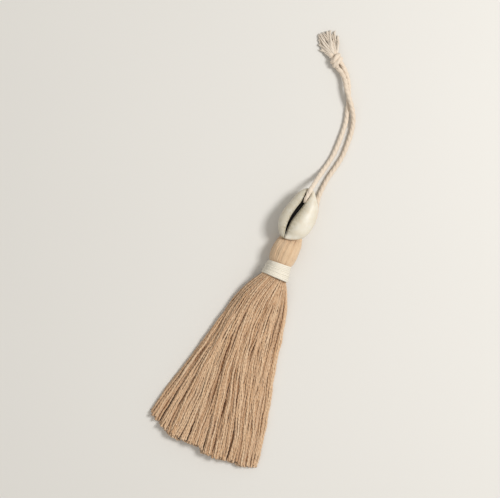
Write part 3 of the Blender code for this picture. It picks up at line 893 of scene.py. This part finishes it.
def make_skirt(material):
    """The skirt's yarns: fine ones where they show, plainer ones inside and below."""
    rng = np.random.default_rng(11)
    across, up = lanes(YARN_PLACES)
    across = across + rng.uniform(-0.008, 0.008, len(across))
    lock = np.searchsorted(LOCK_EDGES, across + LOCK_LEAN * up)
    clump = clumps_of(across, up)
    stations = np.linspace(SKIRT_TOP, SKIRT_END, STATIONS)
    x, z, radius = lay_yarns(across, up, lock, clump, stations, rng)
    x, z = settle(x, z, radius, clump, stations)
    shown = on_top(x, z, radius)
    end = cut_ends(x, up, lock, rng)
    flank = (np.hypot(across, up) > FLANK[0]) & (up < FLANK[1])
    roof = roof_over(x, z, radius)

    def yarns_of(chosen, steps, thicker, **looks):
        """The chosen yarns as one mesh, with their kinks and slubs, thicker than they settled."""
        count = chosen.sum()
        share = np.linspace(0, 1, steps)
        along = SKIRT_TOP + (end[chosen, None] - SKIRT_TOP) * share
        kinks = freed(along, WAVES_OVER) * wander(rng, count, along, *KINKS)
        rises = freed(along, WAVES_OVER) * wander(rng, count, along, *KINK_RISES)
        paths = np.stack([along_yarn(stations, x[chosen], along) + kinks, along,
                          along_yarn(stations, z[chosen], along) + rises], axis=-1)
        radii = thicker * along_yarn(stations, radius[chosen], along)
        radii = radii * (1 + wander(rng, count, along, *SLUBS))
        # The plies open a little at the cut
        radii = radii * (1 + 0.2 * np.clip((share - 0.985) / 0.015, 0, 1))
        mesh = sweep(paths, radii, rng, **looks)
        # Painted shade may go only away from the cut and off the flanks
        inside = np.clip((along - end[chosen, None]) / CUT_FADE, 0, 1) * ~flank[chosen, None]
        inside = np.repeat(inside, looks["sides"], axis=1)
        inside = np.pad(inside, ((0, 0), (0, 2))).ravel()
        return painted_shade_between(mesh, stations, roof, inside)

    for name, low, high in SKIRT_PARTS:
        chosen = shown & (across > low) & (across <= high)
        yarns = yarns_of(chosen, *SHOWN_YARN, groove=0.26, pitch=3.4, sides=8)
        make_piece("skirt_" + name, yarns, material, "skirt_yarn", "skirt")
    yarns = yarns_of(~shown, *INSIDE_YARN, lobes=1, groove=0.0, sides=5)
    make_piece("skirt_inside", yarns, material, "skirt_yarn", "skirt")


def head_valleys(angle):
    """How deep the valleys between the head's bunches are, by the angle: less so underneath."""
    across = np.cos(angle)
    dips = sum(depth * np.exp(-((across - place) / VALLEY_WIDTH) ** 2)
               for place, depth in HEAD_VALLEYS)
    return np.where(np.sin(angle) > -0.2, dips, 0.5 * dips)


def make_head(material):
    """Yarns folded over the loop, side by side round a soft core."""
    rng = np.random.default_rng(5)
    share = np.linspace(0, 1, 130)
    along = HEAD[0][0] + (HEAD[-1][0] - HEAD[0][0]) * np.sin(share * math.pi / 2) ** 0.9
    left, right, low, high = columns_of(HEAD, along)
    angle = (2 * math.pi * (np.arange(HEAD_YARNS) + 0.5) / HEAD_YARNS)[:, None]
    angle = angle + rng.uniform(-0.025, 0.025, (HEAD_YARNS, 1))
    angle = angle + HEAD_SWAY * wander(rng, HEAD_YARNS, along, *HEAD_WAVES)
    half_width, half_height = (right - left) / 2, (high - low) / 2
    girth = 2 * math.pi * np.sqrt((half_width ** 2 + half_height ** 2) / 2)
    radius = np.clip(HEAD_CLOSE * girth / HEAD_YARNS, *HEAD_YARN_RADII)
    radius = radius * rng.uniform(0.9, 1.12, (HEAD_YARNS, 1))
    bulge = np.interp(along, *VALLEYS_ALONG)
    inward = 0.7 + head_valleys(angle) * bulge + 0.04 * rng.uniform(0, 1, (HEAD_YARNS, 1))
    inward = np.minimum(inward, 0.5 * np.minimum(half_width, half_height))
    x = (left + right) / 2 + (half_width - inward) * np.cos(angle)
    z = (low + high) / 2 + (half_height - inward) * np.sin(angle)
    paths = np.stack([x, along + 0 * x, np.maximum(z, 0.8 * radius)], axis=-1)
    yarns = sweep(paths, radius, rng, groove=0.08, pitch=4.6)
    turn = 2 * math.pi * np.arange(32) / 32
    core_width, core_height = HEAD_CORE * half_width[:, None], HEAD_CORE * half_height[:, None]
    rings = np.stack([(left + right)[:, None] / 2 + core_width * np.cos(turn),
                      along[:, None] + 0 * turn,
                      (low + high)[:, None] / 2 + core_height * np.sin(turn)],
                     axis=-1)[None, ::-1]
    rings[..., 2] = np.maximum(rings[..., 2], 0.3)
    points, quads, tips = loft(rings)
    core = Mesh(points, quads, tips, points, np.full(len(points), 0.2))
    make_piece("head_yarn", join([yarns, core]), material, "skirt_yarn", "skirt")


def make_binding(material):
    """One thread wound round the neck, turn beside turn, and tucked in at both ends."""
    rng = np.random.default_rng(9)
    steps = 170 * BINDING_TURNS
    turns = np.linspace(0, BINDING_TURNS, steps)
    angle = 2 * math.pi * turns + BINDING_START
    wound = turns / BINDING_TURNS
    left, right, low, high = (lowest + (highest - lowest) * wound
                              for lowest, highest in zip(*BINDING_OUTSIDE))
    tuck_turns, tuck_depth = TUCKED
    risen = np.clip(np.minimum(turns, BINDING_TURNS - turns) / tuck_turns, 0, 1)
    uneven = 0.05 * np.sin(2.9 * turns + 1) + 0.04 * np.sin(7.3 * turns)
    inward = THREAD_RADIUS + tuck_depth * (1 - risen) + uneven
    x = (left + right) / 2 + ((right - left) / 2 - inward) * np.cos(angle)
    z = (low + high) / 2 + ((high - low) / 2 - inward) * np.sin(angle)
    z = np.maximum(z, 0.95 * THREAD_RADIUS)
    y = np.interp(wound, (0, 1), BINDING_ENDS) + np.interp(wound, (0, 1), BINDING_SLANT) * x
    y = y + 0.05 * np.sin(4.1 * turns)
    thread = sweep(np.stack([x, y, z], axis=-1)[None], np.full((1, steps), THREAD_RADIUS), rng,
                   groove=0.02, pitch=2.4, reference=ALONG)
    make_piece("binding_thread", thread, material, "binding_thread", "binding")


def cowrie_rows():
    """The cowrie's sections at even steps over its skin."""
    rows = [(index, *row) for index, row in enumerate(COWRIE)]
    fine = smooth_columns(rows, np.linspace(0, len(COWRIE) - 1, 60 * len(COWRIE)))
    moves = np.diff(fine[:, [0, 1, 2, 5]], axis=0)
    travelled = np.concatenate([[0], np.cumsum(np.linalg.norm(moves, axis=1))])
    places = np.linspace(0, travelled[-1], COWRIE_RINGS)
    return [np.interp(places, travelled, fine[:, column]) for column in range(fine.shape[1])]


def cowrie_lip(side, row):
    """Points from the slit's bottom, up its wall and over one lip: side is 1 at the right."""
    along, left, right, _, margin, top, slit, width, depth = row
    edge = right if side > 0 else left
    fall, reach = LIP_FALL[side > 0]
    first, last = TEETH_ENDS
    fade = np.clip((along - first) / TEETH_FADE, 0, 1) * np.clip((last - along) / TEETH_FADE, 0, 1)
    # The teeth of the two lips don't stand opposite each other
    tooth = np.cos(2 * math.pi * along / TOOTH_SPACING + (0 if side > 0 else 1.2)) * fade
    rim = slit + side * (width / 2 - TOOTH_DEPTH * tooth)
    fall = fall * np.clip(depth / 1.5, 0, 1)
    floor = top - fall - depth
    wall = [(slit + side * share * width, floor + rise * depth) for share, rise in SLIT_WALL]
    rounded, rounded_over = LIP_EDGE
    over = []
    for step in range(LIP_STEPS + 1):
        part = (step / LIP_STEPS) ** 1.25
        across = rim + (edge - rim) * np.sin(part * math.pi / 2)
        away = np.abs(across - rim)
        height = margin + (top - margin) * np.cos(part * math.pi / 2) ** 0.8
        roll = fall * np.exp(-away / reach)
        roll = roll + rounded * np.minimum(depth, 1) * np.exp(-(away / rounded_over) ** 2)
        ridge = TOOTH_HEIGHT * tooth * np.exp(-away / TOOTH_REACH)
        ridge = ridge * np.minimum(away / 0.25 + 0.4, 1)
        over.append((across, height - roll + ridge))
    return wall + over


def make_cowrie(material):
    """The cowrie on its domed back, slit up, with its teeth on both lips."""
    row = cowrie_rows()
    along, left, right, low, margin, top, slit, width, depth = row
    over_right = cowrie_lip(1, row)
    over_left = cowrie_lip(-1, row)
    dome = []
    for step in range(1, DOME_STEPS):
        angle = math.pi * step / DOME_STEPS
        across = (left + right) / 2 + (right - left) / 2 * np.cos(angle)
        dome.append((across, margin - (margin - low) * math.sin(angle)))
    outline = over_right + dome + over_left[::-1]
    rings = np.array([[across, along, np.maximum(up, FLOOR_CLEAR)] for across, up in outline])
    rings = rings.transpose(2, 0, 1)[None]
    points, quads, tips = loft(rings)
    x, y, z = points.T
    beside = x - np.interp(y, along, slit)
    # Painted shade where the right lip falls to the slit and at the slit's edges; the left lip is
    # darker all over
    dip = np.exp(-((beside - 2.0) / 1.7) ** 2) * np.clip((y - 14) / 4, 0, 1)
    dip = dip * np.clip((31.5 - y) / 5, 0, 1) * 0.62
    half_slit = np.interp(y, along, width) / 2
    edge = np.exp(-((np.abs(beside) - half_slit) / np.where(beside < 0, 0.9, 0.5)) ** 2)
    dip = dip + np.where(beside < 0, 0.3, 0)
    inside = np.abs(beside) < half_slit + 0.05
    # The three lowest points of each wall of the slit are the first and the last of a ring
    place = np.arange(len(points)) % len(outline)
    walls = (place < 3) | (place >= len(outline) - 3)
    tone = np.clip(dip + 0.6 * edge, 0, 1) * (z > np.interp(y, along, margin)) * ~inside
    # Painted shade: the slit's walls get tone 2, which the glaze paints near black
    tone = np.where(walls & inside, 2, tone)
    cowrie = Mesh(points, quads, tips, points, tone)
    make_piece("cowrie_lips", cowrie, material, "cowrie", "cowrie")


make_camera()
make_studio()

rng = np.random.default_rng(3)
cord_cotton = spun_cotton("cord_cotton", "#E8D9C7", "#CDB8A0", "#E1D1BD", "#B79C7C",
                          0.16, 2.0, 0.12, 0.82, 0.25)
fray_cotton = spun_cotton("fray_cotton", "#EEE3D4", "#D2C2AF", "#E4D7C6", "#B79C7C",
                          0.2, 3.0, 0.05, 0.85, 0.3)
left_leg, left_path = make_leg("loop_left", LEFT_ROUTE, ((-0.7, 29.7, 7.2), (-0.65, 30.3, 8.5)),
                               0.62, rng, cord_cotton)
right_leg, right_path = make_leg("loop_right", RIGHT_ROUTE, (), 1.0, rng, cord_cotton)
knot = make_knot(rng, cord_cotton)
frays = make_frays(rng, fray_cotton)

skirt_cotton = spun_cotton("skirt_cotton", "#F6DBB8", "#99683B", "#D4A97B", "#C8905B",
                           0.3, 1.5, 0.12, 0.88, 0.3)
head_cotton = spun_cotton("head_cotton", "#E6CBA8", "#C09D78", "#D9BA95", "#A67A50",
                          0.14, 1.6, 0.12, 0.88, 0.3)
thread_cotton = spun_cotton("thread_cotton", "#F0E9D9", "#DED5C3", "#E9E2D2", "#B79C7C",
                            0.1, 1.2, 0.03, 0.62, 0.2)
make_skirt(skirt_cotton)
make_head(head_cotton)
make_binding(thread_cotton)
make_cowrie(cowrie_glaze())
